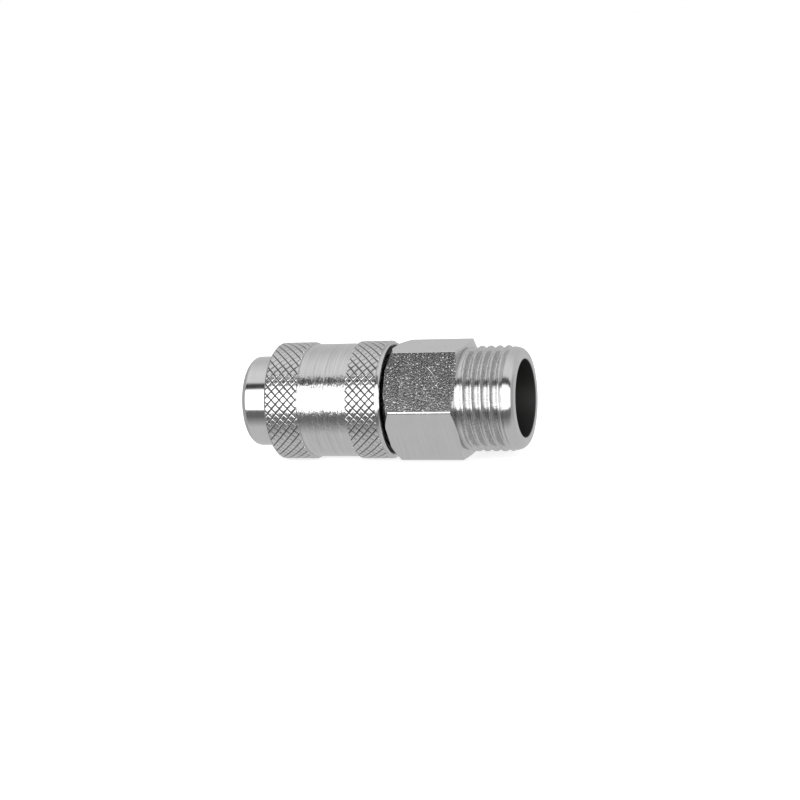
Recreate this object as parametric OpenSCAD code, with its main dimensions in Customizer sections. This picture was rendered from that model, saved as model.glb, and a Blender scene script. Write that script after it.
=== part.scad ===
// Pneumatic quick disconnect coupler (socket half) with a male pipe thread,
// shown uncoupled. Millimetres. X runs along the coupler's axis, from the plug
// opening (-X) to the threaded end (+X). The origin is on the axis, where the
// male thread meets the hexagon. +Z is up, and one hex flat faces down.

/* [Threaded end] */
// Major diameter of the male pipe thread
thread_d = 20.955; // [20.9:0.005:21.0]
// Pitch of the male pipe thread
thread_pitch = 1.814; // [1.8:0.001:1.82]
// Radial depth of the male pipe thread
thread_depth = 1.162; // [1.1:0.002:1.17]
// Length from the hexagon to the end face
thread_len = 10.55; // [10.5:0.05:10.7]
// Outside diameter of the flat end face, inside the rounded lead
end_face_d = 18.2; // [18:0.1:18.6]
// Diameter of the air passage at the threaded end
outlet_d = 15.36; // [15.3:0.02:15.5]

/* [Hexagon] */
// Size across the flats of the spanner hexagon
hex_af = 22; // [21.9:0.05:22.1]
// Length of the hexagon, front face to thread
hex_len = 15.4; // [15.2:0.1:15.6]
// Diameter that the front chamfer leaves on the front face
hex_front_d = 22.5; // [22.2:0.1:22.8]
// Length of the rear cone at the corners
hex_rear_cone = 1.25; // [1.1:0.05:1.4]
// Length of the neck between the rear cone and the thread
hex_neck = 0.6; // [0.5:0.05:0.7]

/* [Sleeve] */
// Outside diameter over the knurled bands
sleeve_d = 23.7; // [23.6:0.05:23.9]
// Outside diameter of the plain middle band
sleeve_mid_d = 22.86; // [22.8:0.02:23.0]
// Length of the sleeve
sleeve_len = 24.2; // [24.1:0.1:24.4]
// Length of the front knurled band
front_band = 7.05; // [6.8:0.05:7.3]
// Length of the rear knurled band with its plain rim
rear_band = 7.1; // [6.8:0.05:7.4]
// Gap between the sleeve and the hexagon at rest
sleeve_gap = 0.8; // [0.6:0.05:0.9]

/* [Socket body] */
// Outside diameter of the nose
nose_d = 18.22; // [18.2:0.01:18.22]
// Length of bare nose in front of the sleeve at rest
nose_out = 6.2; // [6:0.05:6.3]
// Edge rounding of the nose
nose_round = 1.3; // [1:0.1:1.5]
// Diameter of the guide bore for the plug
plug_bore_d = 12.6; // [12.5:0.05:12.7]

/* [Locking balls] */
// Diameter of a locking ball
ball_d = 4; // [3.96:0.01:4]
// Forward travel of the sleeve from open to locked
sleeve_travel = 3.6; // [3.4:0.1:3.6]
// Inward drop of the balls over that travel
ball_drop = 1; // [0.9:0.05:1]

/* [Springs] */
// Wire diameter of the sleeve spring
sleeve_wire_d = 1.1; // [1.0:0.05:1.1]
// Total coils of the sleeve spring
sleeve_coils = 5; // [4:0.5:6]
// Wire diameter of the ball retainer's spring
retainer_wire_d = 0.7; // [0.6:0.05:0.7]
// Total coils of the ball retainer's spring
retainer_coils = 4.5; // [4:0.5:5]
// Wire diameter of the valve spring
valve_wire_d = 0.8; // [0.7:0.05:0.8]
// Total coils of the valve spring
valve_coils = 9; // [8:0.5:11]

/* [Hidden] */
$fn = 96;

// stations along the axis
x_hex = -hex_len;                        // front face of the hexagon
x_sleeve_r = x_hex - sleeve_gap;         // rear end of the sleeve
x_sleeve_f = x_sleeve_r - sleeve_len;    // front end of the sleeve
x_nose = x_sleeve_f - nose_out;          // nose face
x_ball = x_nose + 9.6;                   // plane of the ball centres
x_flange = x_hex - 7.6;                  // front of the body's flange
x_bush = x_hex - 10.6;                   // front of the seat bush
x_spigot = x_hex - 5.6;                  // front of the adapter's spigot
x_guide = -3;                            // shoulder that seats the valve guide
x_ring = x_sleeve_r - 1.9;               // front of the snap ring

// radii
r_sleeve = sleeve_d / 2;
r_mid = sleeve_mid_d / 2;
r_nose = nose_d / 2;
r_plug = plug_bore_d / 2;
r_land = r_nose + 0.04;                  // locking land inside the sleeve
r_chamber = 10.5;                        // spring chamber inside the sleeve
r_flange = 10.3;                         // body's flange, behind the sleeve spring
r_slide = 6.05;                          // bore that the ball retainer runs in
r_well = 6.55;                           // bore behind it, for the flange and spring
r_tail = 9.1;                            // body behind its flange
r_joint = 8.03;                          // bore that takes the bush and spigot
r_valve = 6.4;                           // valve chamber
r_out = outlet_d / 2;
r_thread = thread_d / 2;
r_root = r_thread - thread_depth;
r_corner = hex_af / 2 / cos(30);

// the balls ride between the sleeve's ramp and the retainer's taper
slope = ball_drop / sleeve_travel;
r_rest = r_nose - ball_d / 2 + ball_drop;      // ball centres, sleeve back
ride = (ball_d / 2 + 0.02) * sqrt(1 + slope * slope);
x_ramp = x_ball + (r_rest + ride - 10.3) / slope;
x_land = x_ball + (r_rest + ride - r_land) / slope;

// A body of revolution about X, from [x, r] points.
module turned(pts) {
    rotate([0, 90, 0]) rotate_extrude() polygon([for (p = pts) [p[1], p[0]]]);
}

// A rod of radius r along X, from x0 to x1.
module rod(x0, x1, r, y = 0, z = 0, fn = 96) {
    translate([x0, y, z]) rotate([0, 90, 0]) cylinder(h = x1 - x0, r = r, $fn = fn);
}

// An O-ring about X: station, mean radius, section radius.
module o_ring(x, rc, rs) {
    translate([x, 0, 0]) rotate([0, 90, 0])
        rotate_extrude() translate([rc, 0]) circle(r = rs, $fn = 32);
}

// Distance along a compression spring after t turns: a closed turn at each end
// and an even pitch between them.
function coil_x(t, n, span, d) =
    let (c = d * 1.04, p = (span - 2 * c) / (n - 2))
    t < 1 ? c * t : t > n - 1 ? span - c * (n - t) : c + p * (t - 1);

// A compression spring about X between two faces, its wire swept as a closed tube.
module coil(x0, x1, rm, d, n, per_turn = 18, sides = 8) {
    rw = d / 2;
    steps = round(n * per_turn);
    span = x1 - x0 - d - 0.04;
    pts = [for (i = [0:steps], k = [0:sides - 1])
        let (t = i / per_turn, a = 360 * t, b = 360 * k / sides, r = rm + rw * cos(b))
        [x0 + rw + 0.02 + coil_x(t, n, span, d) + rw * sin(b), r * cos(a), r * sin(a)]];
    skin = [for (i = [0:steps - 1], k = [0:sides - 1], h = [0, 1])
        let (a = i * sides + k, b = i * sides + (k + 1) % sides)
        h == 0 ? [a, b, b + sides] : [a, b + sides, a + sides]];
    cap0 = [for (k = [1:sides - 2]) [0, k + 1, k]];
    cap1 = [for (k = [1:sides - 2]) [steps * sides, steps * sides + k, steps * sides + k + 1]];
    polyhedron(points = pts, faces = concat(skin, cap0, cap1), convexity = 8);
}

// Front shell: nose, ball holes, flange for the sleeve spring, and the bores for
// the plug, the ball retainer and the seat bush.
module socket_body() {
    color("silver") difference() {
        turned(concat(
            [[x_nose, r_plug + 0.6]],
            [for (a = [0:15:90]) [x_nose + nose_round * (1 - cos(a)),
                r_nose - nose_round * (1 - sin(a))]],
            [[x_flange, r_nose], [x_flange, r_flange - 0.2], [x_flange + 0.2, r_flange],
                [x_flange + 1, r_flange], [x_flange + 1.2, r_flange - 0.2],
                [x_flange + 1.2, r_tail],
                [x_hex, r_tail], [x_hex, r_joint], [x_bush, r_joint], [x_bush, r_well],
                [x_ball + 2.4, r_well], [x_ball + 2.4, r_slide], [x_ball - 2.3, r_slide],
                [x_ball - 2.3, r_plug], [x_nose + 0.6, r_plug]]));
        for (i = [0:5]) rotate([i * 60, 0, 0]) translate([x_ball, 0, 0]) {
            translate([0, 0, 6.9]) cylinder(h = 3, r = ball_d / 2 + 0.05, $fn = 48);
            // the inner end narrows, so a ball can't fall through
            translate([0, 0, 5.6]) cylinder(h = 1.301, r1 = ball_d / 2 - 0.34,
                r2 = ball_d / 2 + 0.05, $fn = 48);
        }
    }
}

// Spanner hexagon with the male thread, and the spigot that joins the body.
module hex_adapter() {
    flank = thread_depth * tan(27.5);
    crests = 5;
    color("gainsboro") difference() {
        union() {
            intersection() {
                translate([x_hex, 0, 0]) rotate([0, 90, 0]) rotate([0, 0, 30])
                    cylinder(h = hex_len, r = r_corner, $fn = 6);
                turned([[x_hex, 0], [x_hex, hex_front_d / 2],
                    [x_hex + r_corner + 0.5 - hex_front_d / 2, r_corner + 0.5],
                    [-hex_neck - (hex_rear_cone - hex_neck) * (r_corner + 0.5 - r_thread)
                        / (r_corner - r_thread), r_corner + 0.5],
                    // short neck between the cone and the thread
                    [-hex_neck, r_thread - 0.25], [0, r_thread - 0.25], [0, 0]]);
            }
            // spigot
            turned([[x_spigot, 0], [x_spigot, 7.7], [x_spigot + 0.3, 8],
                [x_hex + 1, 8], [x_hex + 1, 0]]);
            // thread crests, as rings of the thread's own section
            turned(concat([[-1, 0], [-1, r_thread - 0.5], [-0.01, r_thread - 0.2], [0, r_thread]],
                [for (i = [0:crests - 1]) let (x = i * thread_pitch) each concat(
                    i == 0 ? [] : [[x, r_thread]],
                    [[x + 0.45, r_thread], [x + 0.45 + flank, r_root],
                        [x + (i < crests - 1 ? thread_pitch - flank : 0.45 + flank + 0.1),
                            r_root]])],
                // plain rounded lead ahead of the last crest
                [[thread_len - 2.05, r_thread - 0.24], [thread_len - 1.35, r_thread - 0.33],
                    [thread_len - 0.85, r_thread - 0.5], [thread_len - 0.5, r_thread - 0.71],
                    [thread_len - 0.25, r_thread - 0.95], [thread_len - 0.1, r_thread - 1.14],
                    [thread_len, end_face_d / 2], [thread_len, 0]]));
        }
        // bores: valve chamber, guide seat, retaining groove, outlet
        turned([[x_spigot - 1, 0], [x_spigot - 1, r_valve + 0.3], [x_spigot, r_valve + 0.3],
            [x_spigot + 0.3, r_valve], [x_guide, r_valve], [x_guide, r_out],
            [x_guide + 1.58, r_out], [x_guide + 1.58, 8.1], [x_guide + 2.62, 8.1],
            [x_guide + 2.62, r_out], [thread_len - 0.15, r_out],
            [thread_len, r_out + 0.15], [thread_len + 1, r_out + 0.15], [thread_len + 1, 0]]);
    }
}

// Sliding sleeve: grip bands outside; lip, ball groove, ramp, locking land and
// spring chamber inside.
module locking_sleeve() {
    k1 = x_sleeve_f + front_band;
    k2 = x_sleeve_r - rear_band;
    color("lightgray") turned([
        [x_sleeve_f, r_nose + 0.34], [x_sleeve_f, r_sleeve - 0.35],
        [x_sleeve_f + 0.35, r_sleeve],
        [k1 - 0.12, r_sleeve], [k1, r_mid],
        // two scribed lines and a shallow step in the plain band
        [k1 + 2.95, r_mid], [k1 + 3.05, r_mid - 0.08], [k1 + 3.15, r_mid],
        [k1 + 5.45, r_mid], [k1 + 5.55, r_mid - 0.08], [k1 + 5.65, r_mid],
        [k1 + 8.45, r_mid], [k1 + 8.55, r_mid - 0.06], [k2, r_mid - 0.06],
        [k2 + 0.12, r_sleeve], [x_sleeve_r - 0.8, r_sleeve],
        // plain rim behind the grip
        [x_sleeve_r - 0.68, r_mid + 0.07], [x_sleeve_r - 0.2, r_mid + 0.07],
        [x_sleeve_r, r_mid - 0.09],
        [x_sleeve_r, r_chamber + 0.25], [x_sleeve_r - 0.25, r_chamber],
        [x_ring + 1.02, r_chamber], [x_ring + 1.02, 10.85], [x_ring - 0.02, 10.85],
        [x_ring - 0.02, r_chamber], [x_ball + 5.2, r_chamber], [x_ball + 5.2, r_land],
        [x_land, r_land], [x_ramp, 10.3], [x_ball - 2.3, 10.3],
        [x_ball - 2.3, r_nose + 0.09], [x_sleeve_f + 0.25, r_nose + 0.09]]);
}

// Flat wire snap ring in the sleeve's groove, with its gap. It stops the sleeve's
// forward travel on the body's flange.
module sleeve_snap_ring() {
    color("darkslategray") difference() {
        rod(x_ring, x_ring + 1, 10.82);
        rod(x_ring - 1, x_ring + 2, 9.4);
        translate([x_ring - 1, -1.5, -12]) cube([3, 3, 5]);
    }
}

// Spring that drives the sleeve forward over the balls.
module sleeve_spring() {
    color("dimgray") coil(x_ball + 5.2, x_flange, 9.8, sleeve_wire_d, sleeve_coils);
}

// One hardened locking ball, in hole i.
module locking_ball(i) {
    color("whitesmoke") rotate([i * 60, 0, 0]) translate([x_ball, 0, r_rest])
        sphere(d = ball_d, $fn = 48);
}

// Sprung ring that holds the balls out until a plug pushes it back.
module ball_retainer() {
    x0 = x_ball - 1.6;
    color("goldenrod") turned([
        [x0, 4.9], [x0, r_rest - ride + slope * (x0 - x_ball)],
        [x_ball + (5.98 - r_rest + ride) / slope, 5.98], [x_ball + 2.5, 5.98],
        [x_ball + 2.5, 6.5], [x_ball + 3.7, 6.5], [x_ball + 3.7, 4.6], [x0 + 0.3, 4.6]]);
}

// Spring that returns the ball retainer.
module retainer_spring() {
    color("dimgray") coil(x_ball + 3.7, x_bush, 6.12, retainer_wire_d, retainer_coils);
}

// Brass bush with the plug seal inside, its own O-ring outside, and the valve's
// seat on the rear face.
module seat_bush() {
    color("goldenrod") turned([
        [x_bush, 4.85], [x_bush, 7.8], [x_bush + 0.2, 8], [x_bush + 1.9, 8],
        [x_bush + 1.9, 6.98], [x_bush + 3.1, 6.98], [x_bush + 3.1, 8],
        [x_spigot - 0.2, 8], [x_spigot, 7.8], [x_spigot, 4.55],
        [x_bush + 2.9, 4.55], [x_bush + 2.9, 6], [x_bush + 1.1, 6], [x_bush + 1.1, 4.55],
        [x_bush + 0.3, 4.55]]);
}

// Rubber ring that seals on the tip of the plug.
module plug_seal() {
    color("black") o_ring(x_bush + 2, 5.12, 0.86);
}

// Rubber ring between the seat bush and the body.
module bush_o_ring() {
    color("black") o_ring(x_bush + 2.5, 7.505, 0.51);
}

// Valve: slotted boss that the plug pushes, sealing neck, disc and guided stem.
module valve_poppet() {
    s = x_spigot;
    color("goldenrod") difference() {
        turned([[s - 4.5, 2.2], [s - 4.5, 3], [s - 4.3, 3.2], [s - 1.2, 3.2],
            [s - 0.6, 4.42], [s + 1.04, 4.42], [s + 1.04, 5.3], [s + 1.24, 5.5],
            [s + 2, 5.5], [s + 2.2, 5.3], [s + 2.2, 1.6], [-2.9, 1.6], [-2.6, 1.3],
            [-2.6, 0], [s - 1.5, 0], [s - 1.5, 2.2]]);
        for (a = [0, 90]) rotate([a, 0, 0])
            translate([s - 5, -0.8, -4]) cube([3.5, 1.6, 8]);
    }
}

// Rubber ring on the valve, closing against the bush.
module poppet_seal() {
    color("black") o_ring(x_spigot + 0.53, 4.95, 0.505);
}

// Spring that closes the valve.
module valve_spring() {
    color("dimgray") coil(x_spigot + 2.2, x_guide, 3.62, valve_wire_d, valve_coils);
}

// Ported disc that guides the valve's stem and carries the valve spring.
module valve_guide() {
    color("goldenrod") difference() {
        turned([[x_guide - 3, 1.65], [x_guide - 3, 2.6], [x_guide - 2.8, 2.8],
            [x_guide, 2.8], [x_guide, 7.63], [x_guide + 1.6, 7.63], [x_guide + 1.6, 1.65]]);
        for (i = [0:5]) rotate([30 + i * 60, 0, 0])
            rod(x_guide - 0.5, x_guide + 2, 1.3, z = 5.5, fn = 32);
    }
}

// Internal circlip that keeps the guide in, with its gap and eyes.
module guide_circlip() {
    x0 = x_guide + 1.6;
    color("dimgray") difference() {
        union() {
            difference() {
                rod(x0, x0 + 1, 8.06);
                rod(x0 - 1, x0 + 2, 6.95);
            }
            for (s = [-1, 1]) rotate([s * 17, 0, 0]) rod(x0, x0 + 1, 1.1, z = 6.45, fn = 32);
        }
        translate([x0 - 1, -0.8, 4]) cube([3, 1.6, 6]);
        for (s = [-1, 1]) rotate([s * 17, 0, 0]) rod(x0 - 1, x0 + 2, 0.5, z = 6.4, fn = 24);
    }
}

socket_body();
hex_adapter();
locking_sleeve();
sleeve_snap_ring();
sleeve_spring();
locking_ball(0);  // locking_ball_1
locking_ball(1);  // locking_ball_2
locking_ball(2);  // locking_ball_3
locking_ball(3);  // locking_ball_4
locking_ball(4);  // locking_ball_5
locking_ball(5);  // locking_ball_6
ball_retainer();
retainer_spring();
seat_bush();
plug_seal();
bush_o_ring();
valve_poppet();
poppet_seal();
valve_spring();
valve_guide();
guide_circlip();
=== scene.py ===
import math

import bmesh
import bpy
import numpy as np
from mathutils import Matrix, Vector


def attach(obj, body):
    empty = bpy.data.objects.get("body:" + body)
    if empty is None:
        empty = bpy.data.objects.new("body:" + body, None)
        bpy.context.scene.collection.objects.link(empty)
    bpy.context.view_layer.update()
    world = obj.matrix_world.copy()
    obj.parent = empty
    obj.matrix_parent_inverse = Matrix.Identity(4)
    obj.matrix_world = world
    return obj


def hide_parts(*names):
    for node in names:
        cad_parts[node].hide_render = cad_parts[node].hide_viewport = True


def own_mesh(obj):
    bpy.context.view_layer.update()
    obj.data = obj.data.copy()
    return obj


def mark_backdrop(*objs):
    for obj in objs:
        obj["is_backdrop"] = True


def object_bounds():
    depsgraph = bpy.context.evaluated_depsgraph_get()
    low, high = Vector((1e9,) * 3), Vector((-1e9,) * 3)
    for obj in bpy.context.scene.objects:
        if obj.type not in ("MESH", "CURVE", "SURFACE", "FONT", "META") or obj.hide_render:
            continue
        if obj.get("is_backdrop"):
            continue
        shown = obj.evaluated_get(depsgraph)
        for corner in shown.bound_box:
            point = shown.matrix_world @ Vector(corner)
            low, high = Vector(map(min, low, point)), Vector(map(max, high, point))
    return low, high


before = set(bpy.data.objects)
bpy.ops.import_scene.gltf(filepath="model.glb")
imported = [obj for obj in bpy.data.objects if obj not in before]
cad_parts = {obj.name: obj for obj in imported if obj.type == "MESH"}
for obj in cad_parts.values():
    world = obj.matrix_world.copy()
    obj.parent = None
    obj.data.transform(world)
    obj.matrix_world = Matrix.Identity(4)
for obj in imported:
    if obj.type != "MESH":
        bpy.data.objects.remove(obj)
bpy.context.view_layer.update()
MM = 0.001
TAU = 2 * math.pi

# ---------------------------------------------------------------- camera
AZ, EL, ROLL, DIST = math.radians(19.36), math.radians(12.0), math.radians(4.77), 0.3848
target = Vector((-0.0156, 0, 0))
back = Vector((math.sin(AZ) * math.cos(EL), -math.cos(AZ) * math.cos(EL), math.sin(EL)))
cam_data = bpy.data.cameras.new("camera")
cam = bpy.data.objects.new("camera", cam_data)
bpy.context.scene.collection.objects.link(cam)
cam_data.sensor_width = 36
cam_data.lens = 86.2
cam_data.shift_y = -0.00086
cam_data.clip_start, cam_data.clip_end = 0.01, 50
cam.location = target + back * DIST
turn = (-back).to_track_quat("-Z", "Y").to_matrix().to_4x4() @ Matrix.Rotation(-ROLL, 4, "Z")
cam.rotation_mode = "QUATERNION"
cam.rotation_quaternion = turn.to_quaternion()
bpy.context.scene.camera = cam
bpy.context.scene.view_settings.view_transform = "Standard"


# ---------------------------------------------------------------- node helpers
class Mat:
    def __init__(self, name, **sockets):
        self.m = bpy.data.materials.new(name)
        self.m.use_nodes = True
        self.t = self.m.node_tree
        self.p = self.t.nodes["Principled BSDF"]
        for k, v in sockets.items():
            self.p.inputs[k.replace("_", " ")].default_value = v
        self.obj = self.node("ShaderNodeTexCoord").outputs["Object"]

    def node(self, kind, **props):
        n = self.t.nodes.new(kind)
        for k, v in props.items():
            setattr(n, k, v)
        return n

    def link(self, a, b):
        self.t.links.new(a, b)

    def math(self, op, a, b=None, clamp=False):
        n = self.node("ShaderNodeMath", operation=op, use_clamp=clamp)
        for i, v in enumerate((a, b)):
            if v is None:
                continue
            if isinstance(v, (int, float)):
                n.inputs[i].default_value = v
            else:
                self.link(v, n.inputs[i])
        return n.outputs[0]

    def noise(self, scale, stretch=(1, 1, 1), detail=2.0, rough=0.5):
        mp = self.node("ShaderNodeMapping")
        mp.inputs["Scale"].default_value = stretch
        self.link(self.obj, mp.inputs["Vector"])
        n = self.node("ShaderNodeTexNoise")
        n.inputs["Scale"].default_value = scale
        n.inputs["Detail"].default_value = detail
        n.inputs["Roughness"].default_value = rough
        self.link(mp.outputs[0], n.inputs["Vector"])
        return n.outputs[0]

    def remap(self, v, a, b, c, d):
        n = self.node("ShaderNodeMapRange")
        for i, x in zip((1, 2, 3, 4), (a, b, c, d)):
            n.inputs[i].default_value = x
        self.link(v, n.inputs[0])
        return n.outputs[0]

    def ramp(self, v, stops):
        n = self.node("ShaderNodeValToRGB")
        e = n.color_ramp.elements
        while len(e) < len(stops):
            e.new(0.5)
        for el, (pos, col) in zip(e, stops):
            el.position, el.color = pos, (*col, 1)
        self.link(v, n.inputs[0])
        return n.outputs[0]

    def mix(self, f, a, b):
        n = self.node("ShaderNodeMix", data_type="RGBA")
        self.link(f, n.inputs[0])
        for s, v in ((n.inputs[6], a), (n.inputs[7], b)):
            if isinstance(v, tuple):
                s.default_value = (*v, 1)
            else:
                self.link(v, s)
        return n.outputs[2]

    def bump(self, height, strength, distance):
        n = self.node("ShaderNodeBump")
        n.inputs["Strength"].default_value = strength
        n.inputs["Distance"].default_value = distance
        self.link(height, n.inputs["Height"])
        self.link(n.outputs[0], self.p.inputs["Normal"])

    def radius(self):
        s = self.node("ShaderNodeSeparateXYZ")
        self.link(self.obj, s.inputs[0])
        y2 = self.math("MULTIPLY", s.outputs[1], s.outputs[1])
        z2 = self.math("MULTIPLY", s.outputs[2], s.outputs[2])
        return self.math("SQRT", self.math("ADD", y2, z2)), s.outputs[0]


def plated(name, base, lo, hi, streak, grain, bore_shade_r=None, bore_shade_col=(0.10,) * 3, blast=0.0, arc=False,
           grooves=None, wobble=0.0, pits=0.0, tone=(0.05, 0.04)):
    """Bright plated steel: turning streaks round X, a fine grain, and painted shade darkening the bore."""
    m = Mat(name, Metallic=1.0)
    lines = m.noise(1.0, (9000, 90, 90), 3.0, 0.6)
    cloud = m.noise(260.0, detail=3.0)
    fleck = m.noise(5200.0, detail=2.0)
    col = m.ramp(lines, [(0.3, (base - tone[0],) * 3), (0.7, (base + tone[1],) * 3)])
    col = m.mix(m.remap(cloud, 0.35, 0.75, 0.0, 0.35), col, (base - 0.09,) * 3)
    rough = m.math("ADD", m.remap(lines, 0.3, 0.7, lo, hi), m.remap(fleck, 0.3, 0.7, 0, grain))
    if pits:
        # fine pitting on the thread only, dark and a little rough
        _, x = m.radius()
        pit = m.math("MULTIPLY", m.remap(m.noise(3600.0, detail=1.5, rough=0.5), 0.50, 0.38, 0.0, pits),
                     m.math("MULTIPLY", m.remap(x, -0.0002, 0.0002, 0.0, 1.0),
                            m.remap(x, 0.0074, 0.0080, 1.0, 0.12)))
        col = m.mix(pit, col, (0.22,) * 3)
        rough = m.math("ADD", rough, m.math("MULTIPLY", pit, 0.15), clamp=True)
    if grooves is not None:
        # painted shade in the knurl's grooves, within the two grip bands only
        r, x = m.radius()
        in_band = None
        for a, b in grooves:
            w = m.math("MULTIPLY", m.remap(x, a * MM, (a + 0.1) * MM, 0.0, 1.0),
                       m.remap(x, b * MM, (b - 0.1) * MM, 0.0, 1.0))
            in_band = w if in_band is None else m.math("ADD", in_band, w)
        groove_shade = m.math("MULTIPLY", m.remap(r, 0.01183, 0.01175, 0.0, 1.0), in_band)
        col = m.mix(groove_shade, col, (0.26,) * 3)
        rough = m.math("ADD", rough, m.math("MULTIPLY", groove_shade, 0.25), clamp=True)
    if bore_shade_r is not None:
        # painted shade: within this radius the bore is darkened and roughened to stand in for the shade in the hole
        r, _ = m.radius()
        bore_shade = m.remap(r, (bore_shade_r + 0.06) * MM, (bore_shade_r - 0.06) * MM, 0.0, 1.0)
        col = m.mix(bore_shade, col, bore_shade_col)
        rough = m.math("ADD", rough, m.math("MULTIPLY", bore_shade, 0.4), clamp=True)
    m.link(col, m.p.inputs["Base Color"])
    m.link(rough, m.p.inputs["Roughness"])
    h = m.math("ADD", m.math("MULTIPLY", lines, streak), m.math("MULTIPLY", fleck, grain * 2))
    if wobble:
        h = m.math("ADD", h, m.math("MULTIPLY", m.noise(1.0, (3000, 900, 900), 2.0), wobble))
    if blast:
        # blasted grain on the hexagon's flats only: everything outside the thread, behind x = 0
        r, x = m.radius()
        on = m.math("MULTIPLY", m.remap(r, 0.0108, 0.0110, 0.0, 1.0), m.remap(x, 0.0, -0.0004, 0.0, 1.0))
        h = m.math("ADD", h, m.math("MULTIPLY", m.math("MULTIPLY", m.noise(3000.0, detail=2.0, rough=0.6), blast), on))
        specks = m.remap(m.noise(2700.0, detail=0.5), 0.68, 0.76, 0.0, 7.0)
        h = m.math("ADD", h, m.math("MULTIPLY", specks, on))
    if arc:
        # a cutter's witness mark, part of a circle on the upper front flat
        sp = m.node("ShaderNodeSeparateXYZ")
        m.link(m.obj, sp.inputs[0])
        x, y, z = sp.outputs
        along = m.math("ADD", m.math("MULTIPLY", z, math.cos(math.radians(30))), m.math("MULTIPLY", y, 0.5))
        depth = m.math("SUBTRACT", m.math("MULTIPLY", z, 0.5), m.math("MULTIPLY", y, math.cos(math.radians(30))))
        dx, dt = m.math("ADD", x, 0.0107), m.math("ADD", along, 0.0022)
        dist = m.math("SQRT", m.math("ADD", m.math("MULTIPLY", dx, dx), m.math("MULTIPLY", dt, dt)))
        off = m.math("ABSOLUTE", m.math("SUBTRACT", dist, 0.0066))
        line = m.remap(off, 0.00012, 0.00004, 0.0, 1.0)
        for v, a, b in ((depth, 0.01085, 0.01095), (x, -0.0072, -0.0066), (along, -0.0020, -0.0014)):
            line = m.math("MULTIPLY", line, m.remap(v, a, b, 0.0, 1.0))
        h = m.math("ADD", h, m.math("MULTIPLY", line, 4.0))
        bright = m.mix(m.math("MULTIPLY", line, 0.8), col, (0.97,) * 3)
        m.link(bright, m.p.inputs["Base Color"])
    m.bump(h, 0.35, 0.000006)
    return m.m


def simple(name, a, b, metallic, lo, hi, scale, stretch=(1, 1, 1), bump=0.1):
    m = Mat(name, Metallic=metallic)
    n = m.noise(scale, stretch, 3.0, 0.6)
    m.link(m.ramp(n, [(0.3, a), (0.7, b)]), m.p.inputs["Base Color"])
    m.link(m.remap(n, 0.3, 0.7, lo, hi), m.p.inputs["Roughness"])
    m.bump(n, bump, 0.00001)
    return m.m


# painted shade darkens the bores of the sleeve and the hexagon below the given radius
M_SLEEVE = plated("sleeve_plating", 0.76, 0.07, 0.22, 2.6, 0.03, bore_shade_r=11.0, tone=(0.15, 0.08),
                  grooves=((-40.3, -33.5), (-23.1, -17.0)), wobble=32.0)
M_BODY = plated("body_plating", 0.76, 0.07, 0.14, 0.9, 0.02)
M_HEX = plated("hex_plating", 0.74, 0.08, 0.15, 0.25, 0.06, bore_shade_r=7.80, blast=10.0, arc=True, pits=0.40)
M_RING = simple("phosphated_steel", (0.05,) * 3, (0.11,) * 3, 1.0, 0.35, 0.5, 3000.0)
M_SPRING = simple("spring_wire", (0.36,) * 3, (0.5,) * 3, 1.0, 0.2, 0.35, 2500.0)
M_BALL = simple("polished_ball", (0.72,) * 3, (0.78,) * 3, 1.0, 0.05, 0.1, 900.0, bump=0.03)
M_BRASS = simple("machined_brass", (0.62, 0.43, 0.17), (0.76, 0.56, 0.27), 1.0, 0.18, 0.3, 1.0, (8000, 120, 120))
M_RUBBER = simple("nitrile_rubber", (0.012,) * 3, (0.03,) * 3, 0.0, 0.5, 0.7, 4000.0, bump=0.3)


# ---------------------------------------------------------------- mesh helpers
def finish_piece(name, verts, faces, mat, node, body, sharp=28):
    me = bpy.data.meshes.new(name)
    me.from_pydata([tuple(v) for v in verts], [], faces)
    bm = bmesh.new()
    bm.from_mesh(me)
    bmesh.ops.recalc_face_normals(bm, faces=bm.faces)
    bm.to_mesh(me)
    bm.free()
    me.polygons.foreach_set("use_smooth", [True] * len(me.polygons))
    me.set_sharp_from_angle(angle=math.radians(sharp))
    me.materials.append(mat)
    o = bpy.data.objects.new(name, me)
    bpy.context.scene.collection.objects.link(o)
    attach(o, body)
    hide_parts(node)
    return o


def lathe(rows, theta, diag=None):
    """Closed skin through rows of (x, r), each a number or an array over theta.
    diag maps a row index to an array that is 1 where a quad splits the other way."""
    n, k = len(theta), len(rows)
    c, s = np.cos(theta), np.sin(theta)
    verts = np.empty((k * n, 3))
    for j, (x, r) in enumerate(rows):
        x, r = np.broadcast_to(x, n), np.broadcast_to(r, n)
        verts[j * n : (j + 1) * n] = np.stack([x, r * c, r * s], 1) * MM
    faces = []
    for j in range(k):
        a, b = j * n, ((j + 1) % k) * n
        split = None if diag is None else diag.get(j)
        for i in range(n):
            i2 = (i + 1) % n
            p, q, u, v = a + i, a + i2, b + i2, b + i
            if split is None:
                faces.append((p, q, u, v))
            elif split[i]:
                faces += [(q, u, v), (q, v, p)]
            else:
                faces += [(p, q, u), (p, u, v)]
    return verts, faces


# ---------------------------------------------------------------- locking sleeve
NK, PER = 41, 12
N_S = NK * PER
th_s = np.arange(N_S) / N_S * TAU
STEP = 1.70 / PER
CREST, ROOT, MID = 11.85, 11.64, 11.43
ii = np.arange(N_S)


def knurl(j):
    """Flat-topped diamonds: height round one row, where two families of V grooves cross."""
    a, b = (ii + j) % PER, (ii - j) % PER
    d = np.minimum(np.minimum(a, PER - a), np.minimum(b, PER - b))
    return ROOT + (CREST - ROOT) * np.minimum(1.0, d / 1.25)


def knurl_split(j):
    a, b = (ii + j + 1) % PER, (ii - j) % PER
    a = np.minimum(a, PER - a)
    b = np.minimum(np.abs(b + 0.0), PER - b)
    return a < b


rows, diag = [], {}


def add(x, r):
    rows.append((x, r))


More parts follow.
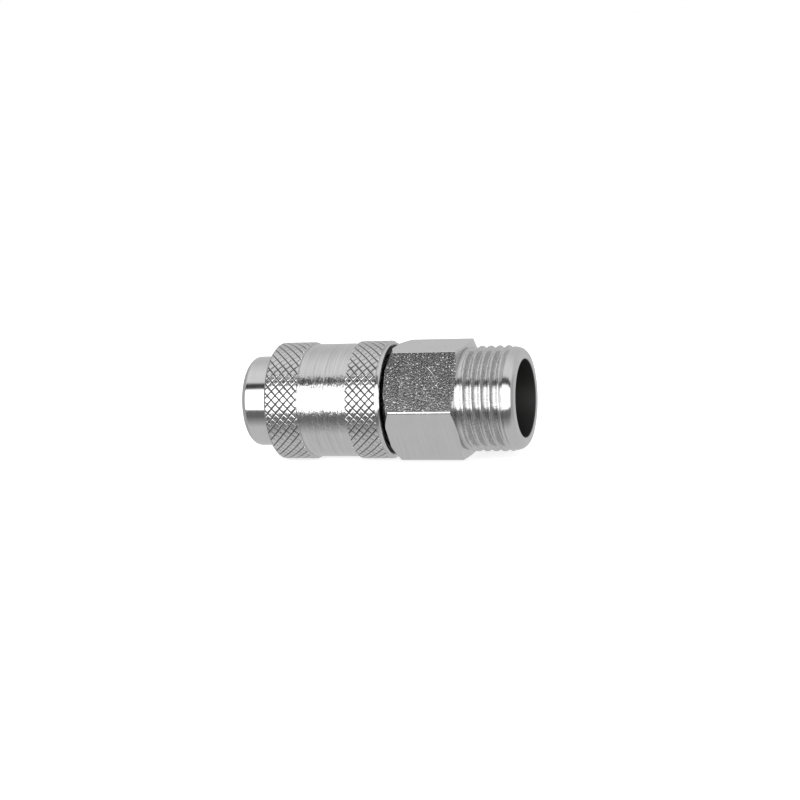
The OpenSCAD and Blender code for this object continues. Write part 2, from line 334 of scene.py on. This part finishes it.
add(-40.15, 9.20)
add(-40.40, 9.45)
for j in range(50):
    x = -40.40 + STEP * j
    diag[len(rows)] = knurl_split(j)
    add(x, np.minimum(knurl(j), 11.5 + (x + 40.40)))
diag.pop(len(rows) - 1)
add(-33.35, MID)
for x, r in ((-30.45, MID), (-30.30, MID - 0.10), (-30.15, MID), (-27.95, MID),
             (-27.80, MID - 0.10), (-27.65, MID), (-24.90, MID), (-24.80, MID - 0.06),
             (-23.30, MID - 0.06)):
    add(x, r)
for j in range(45):
    diag[len(rows)] = knurl_split(j)
    add(-23.18 + STEP * j, knurl(j))
diag.pop(len(rows) - 1)
add(-16.88, 11.50)
add(-16.40, 11.50)
add(-16.20, 11.34)
for x, r in ((-16.20, 10.75), (-16.45, 10.50), (-17.08, 10.50), (-17.08, 10.85),
             (-18.12, 10.85), (-18.12, 10.50), (-31.80, 10.50), (-31.80, 9.15),
             (-33.199, 9.15), (-37.337, 10.30), (-39.30, 10.30), (-39.30, 9.20)):
    add(x, r)
v, f = lathe(rows, th_s, diag)
finish_piece("knurled_sleeve", v, f, M_SLEEVE, "locking_sleeve", "sleeve", 24)

# ---------------------------------------------------------------- hexagon and thread
AF2, RHO = 11.0, 0.55
P, DEPTH, R_T = 1.814, 1.162, 10.4775
deg = set(np.round(np.arange(0, 360, 1.25), 4))
for c in range(0, 360, 60):
    for d in (-1.3, -1.05, -0.8, -0.6, -0.4, -0.2, 0, 0.2, 0.4, 0.6, 0.8, 1.05, 1.3):
        deg.add(round((c + d) % 360, 4))
th_h = np.radians(np.array(sorted(deg)))

# corners at theta 0, 60, ... so that flats face up and down
phi = (np.degrees(th_h) + 30) % 60 - 30          # angle from the nearest corner
phi = np.radians(np.abs(phi))
flat = AF2 / np.cos(math.radians(30) - phi)
cc = (AF2 - RHO) / math.cos(math.radians(30))
disc = RHO**2 - (cc * np.sin(phi)) ** 2
arc = np.where(disc > 0, cc * np.cos(phi) + np.sqrt(np.maximum(disc, 0)), 1e9)
hexr = np.minimum(flat, np.where(phi < math.atan2(AF2 * math.tan(math.radians(30)), AF2) - math.atan2((AF2 - RHO) * math.tan(math.radians(30)), AF2), arc, 1e9))

X_H, R_FRONT, CORNER = -15.4, 11.25, AF2 / math.cos(math.radians(30))
x_front = X_H + np.maximum(hexr - R_FRONT, 0)
x_rear = -0.6 - 0.65 * (hexr - R_T) / (CORNER - R_T)


def thread_r(theta, x):
    """Whitworth form with rounded crests and roots, as a right-hand helix."""
    rho = 0.2492
    u = (x - 1.45 - P * theta / TAU) % P
    u = np.minimum(u, P - u)
    w = rho * math.sin(math.radians(62.5))
    drop = rho * (1 - math.cos(math.radians(62.5)))
    crest = rho - np.sqrt(np.maximum(rho**2 - u**2, 0))
    flank = drop + (u - w) / math.tan(math.radians(27.5))
    uu = P / 2 - u
    root = DEPTH - (rho - np.sqrt(np.maximum(rho**2 - uu**2, 0)))
    return R_T - np.where(u < w, crest, np.where(uu < w, root, flank))


LEAD_X = [7.90, 8.40, 9.20, 9.70, 10.05, 10.30, 10.45, 10.52, 10.55]
LEAD_R = [10.4775, 10.25, 10.15, 9.98, 9.77, 9.53, 9.34, 9.19, 9.08]
rows = [(-20.70, 6.40), (-21.0, 6.70), (-21.0, 7.70), (-20.7, 8.0), (X_H, 8.0),
        (X_H, np.minimum(R_FRONT, hexr) - 0.06), (x_front + 0.0, np.minimum(hexr, hexr)),
        (x_rear, hexr), (-0.6, R_T - 0.25), (-0.04, R_T - 0.25)]
rows[6] = (np.maximum(x_front, X_H + 0.05), hexr)
for x in np.arange(0.0, 10.551, P / 26):
    r = thread_r(th_h, x)
    r = np.maximum(r, R_T - 1.35 * x)                       # run-out at the hexagon
    if x > 7.9:                                             # the plain lead fills the last groove
        r = np.maximum(r, np.interp(x, [7.9, 8.5], [R_T - DEPTH, 10.24]))
    r = np.minimum(r, np.interp(x, LEAD_X, LEAD_R))
    rows.append((x, r))
rows.append((10.55, 9.05))
for x, r in ((10.55, 7.83), (10.40, 7.68), (-0.38, 7.68), (-0.38, 8.10), (-1.42, 8.10),
             (-1.42, 7.68), (-3.0, 7.68), (-3.0, 6.40)):
    rows.append((x, r))
v, f = lathe(rows, th_h)
finish_piece("hexagon_and_thread", v, f, M_HEX, "hex_adapter", "housing", 30)

# ---------------------------------------------------------------- socket body
th_b = np.arange(240) / 240 * TAU
rows = [(-46.6, 6.9)]
for a in range(0, 91, 6):
    q = math.radians(a)
    rows.append((-46.6 + 1.3 * (1 - math.cos(q)), 9.11 - 1.3 * (1 - math.sin(q))))
rows += [(-23.0, 9.11), (-23.0, 10.1), (-22.8, 10.3), (-22.0, 10.3), (-21.8, 10.1),
         (-21.8, 9.1), (-15.4, 9.1), (-15.4, 8.03), (-26.0, 8.03), (-26.0, 6.55),
         (-34.6, 6.55), (-34.6, 6.05), (-39.3, 6.05), (-39.3, 6.3), (-46.0, 6.3)]
v, f = lathe(rows, th_b)
shell = finish_piece("nose_and_body", v, f, M_BODY, "socket_body", "housing", 28)
bm = bmesh.new()
for k in range(6):                                          # one closed cutter for each ball
    turn = Matrix.Rotation(k * TAU / 6, 4, "X")
    rings = [[bm.verts.new(turn @ Vector(((-37.0 + r * math.cos(TAU * i / 48)) * MM,
                                          r * math.sin(TAU * i / 48) * MM, z * MM)))
              for i in range(48)] for r, z in ((1.66, 5.6), (2.05, 6.9), (2.05, 9.9))]
    for lo, hi in zip(rings, rings[1:]):
        for i in range(48):
            bm.faces.new((lo[i], lo[(i + 1) % 48], hi[(i + 1) % 48], hi[i]))
    bm.faces.new(rings[0][::-1])
    bm.faces.new(rings[-1])
cut_me = bpy.data.meshes.new("ball_holes")
bm.to_mesh(cut_me)
bm.free()
cutter = bpy.data.objects.new("ball_holes", cut_me)
bpy.context.scene.collection.objects.link(cutter)
mod = shell.modifiers.new("holes", "BOOLEAN")
mod.operation, mod.object, mod.solver, mod.use_self = "DIFFERENCE", cutter, "EXACT", True
bpy.context.view_layer.update()
done = bpy.data.meshes.new_from_object(shell.evaluated_get(bpy.context.evaluated_depsgraph_get()))
shell.modifiers.clear()
shell.data = done
shell.data.polygons.foreach_set("use_smooth", [True] * len(done.polygons))
shell.data.set_sharp_from_angle(angle=math.radians(28))
bpy.data.objects.remove(cutter)


# ---------------------------------------------------------------- springs
def coil(name, x0, x1, rm, d, n, node, sides=14, per=56):
    rw = d / 2
    span = x1 - x0 - d - 0.04
    c = d * 1.04
    pitch = (span - 2 * c) / (n - 2)
    steps = int(round(n * per))
    verts, faces = [], []
    for i in range(steps + 1):
        t = i / per
        cx = c * t if t < 1 else (span - c * (n - t) if t > n - 1 else c + pitch * (t - 1))
        for k in range(sides):
            b = TAU * k / sides
            r = rm + rw * math.cos(b)
            verts.append(((x0 + rw + 0.02 + cx + rw * math.sin(b)) * MM,
                          r * math.cos(TAU * t) * MM, r * math.sin(TAU * t) * MM))
    for i in range(steps):
        for k in range(sides):
            a, b = i * sides + k, i * sides + (k + 1) % sides
            faces.append((a, b, b + sides, a + sides))
    faces.append(tuple(range(sides)))
    faces.append(tuple(steps * sides + k for k in range(sides)))
    return finish_piece(name, verts, faces, M_SPRING, node, "housing", 40)


coil("sleeve_coil", -31.8, -23.0, 9.8, 1.1, 5, "sleeve_spring")
s = coil("retainer_coil", -33.3, -26.0, 6.12, 0.7, 4.5, "retainer_spring")
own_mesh(s)
s = coil("valve_coil", -18.8, -3.0, 3.62, 0.8, 9, "valve_spring")
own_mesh(s)

# ---------------------------------------------------------------- carried-over pieces
LOOK = {"sleeve_snap_ring": M_RING, "guide_circlip": M_RING, "ball_retainer": M_BRASS,
        "seat_bush": M_BRASS, "valve_poppet": M_BRASS, "valve_guide": M_BRASS,
        "plug_seal": M_RUBBER, "bush_o_ring": M_RUBBER, "poppet_seal": M_RUBBER}
for k in range(1, 7):
    LOOK[f"locking_ball_{k}"] = M_BALL
for name, mat in LOOK.items():
    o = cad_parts[name]
    o.data.materials.clear()
    o.data.materials.append(mat)

# ---------------------------------------------------------------- floor, backdrop, light
FLOOR_Z = -0.01187


def stage_mat(name, colour, glow):
    m = bpy.data.materials.new(name)
    m.use_nodes = True
    p = m.node_tree.nodes["Principled BSDF"]
    p.inputs["Base Color"].default_value = (*colour, 1)
    p.inputs["Roughness"].default_value = 0.9
    p.inputs["Specular IOR Level"].default_value = 0.0
    p.inputs["Emission Color"].default_value = (1, 1, 1, 1)
    p.inputs["Emission Strength"].default_value = glow
    return m


def disc(name, radius, z, mat):
    bm = bmesh.new()
    bmesh.ops.create_circle(bm, cap_ends=True, segments=96, radius=radius)
    me = bpy.data.meshes.new(name)
    bm.to_mesh(me)
    bm.free()
    me.materials.append(mat)
    o = bpy.data.objects.new(name, me)
    o.location.z = z
    bpy.context.scene.collection.objects.link(o)
    return o


floor = disc("floor", 4.0, FLOOR_Z, stage_mat("pale_floor", (0.93,) * 3, 0.62))
floor.visible_glossy = False
bm = bmesh.new()
bmesh.ops.create_uvsphere(bm, u_segments=48, v_segments=24, radius=8.0)
me = bpy.data.meshes.new("backdrop")
bm.to_mesh(me)
bm.free()
me.materials.append(stage_mat("pale_backdrop", (0, 0, 0), 1.0))
dome = bpy.data.objects.new("backdrop", me)
bpy.context.scene.collection.objects.link(dome)
for flag in ("visible_diffuse", "visible_glossy", "visible_transmission", "visible_shadow"):
    setattr(dome, flag, False)
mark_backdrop(floor, dome)

# A plain studio: one broad box in front with a dark card above and below it, in a pale
# room with a lighter ceiling. Angles run from -Y up towards +Z.
world = bpy.data.worlds.new("studio")
bpy.context.scene.world = world
world.use_nodes = True
t = world.node_tree
bg = t.nodes["Background"]
tc = t.nodes.new("ShaderNodeTexCoord")
sp = t.nodes.new("ShaderNodeSeparateXYZ")
t.links.new(tc.outputs["Generated"], sp.inputs[0])
neg = t.nodes.new("ShaderNodeMath"); neg.operation = "MULTIPLY"; neg.inputs[1].default_value = -1
t.links.new(sp.outputs[1], neg.inputs[0])
at = t.nodes.new("ShaderNodeMath"); at.operation = "ARCTAN2"
t.links.new(sp.outputs[2], at.inputs[0])
t.links.new(neg.outputs[0], at.inputs[1])
mr = t.nodes.new("ShaderNodeMapRange")
mr.inputs[1].default_value, mr.inputs[2].default_value = -math.pi, math.pi
t.links.new(at.outputs[0], mr.inputs[0])
cr = t.nodes.new("ShaderNodeValToRGB")
ROOM, BLACK, GREY, CEILING, SIDE, PEAK = 0.60, 0.05, 0.16, 0.80, 0.45, 2.2
STOPS = [(-180, ROOM), (-60, ROOM), (-30, GREY), (-12, GREY), (-10, PEAK), (38, PEAK),
         (45, BLACK), (56, BLACK), (62, CEILING), (90, CEILING), (130, ROOM), (180, ROOM)]
e = cr.color_ramp.elements
while len(e) < len(STOPS):
    e.new(0.5)
for el, (a, val) in zip(e, STOPS):
    el.position = (a + 180) / 360
    el.color = (val / PEAK,) * 3 + (1,)
t.links.new(mr.outputs[0], cr.inputs[0])
# the box and cards stand a little to the right, and end softly at the side walls
ends = []
for a, b in ((0.80, 0.95), (-0.50, -0.80)):
    side = t.nodes.new("ShaderNodeMapRange")
    side.interpolation_type = "SMOOTHSTEP"
    side.inputs[1].default_value, side.inputs[2].default_value = a, b
    t.links.new(sp.outputs[0], side.inputs[0])
    ends.append(side.outputs[0])
side = t.nodes.new("ShaderNodeMath"); side.operation = "MAXIMUM"
t.links.new(ends[0], side.inputs[0])
t.links.new(ends[1], side.inputs[1])
walls = t.nodes.new("ShaderNodeMix"); walls.data_type = "RGBA"
t.links.new(side.outputs[0], walls.inputs[0])
t.links.new(cr.outputs[0], walls.inputs[6])
walls.inputs[7].default_value = (SIDE / PEAK,) * 3 + (1,)
t.links.new(walls.outputs[2], bg.inputs["Color"])
bg.inputs["Strength"].default_value = PEAK

lo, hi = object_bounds()
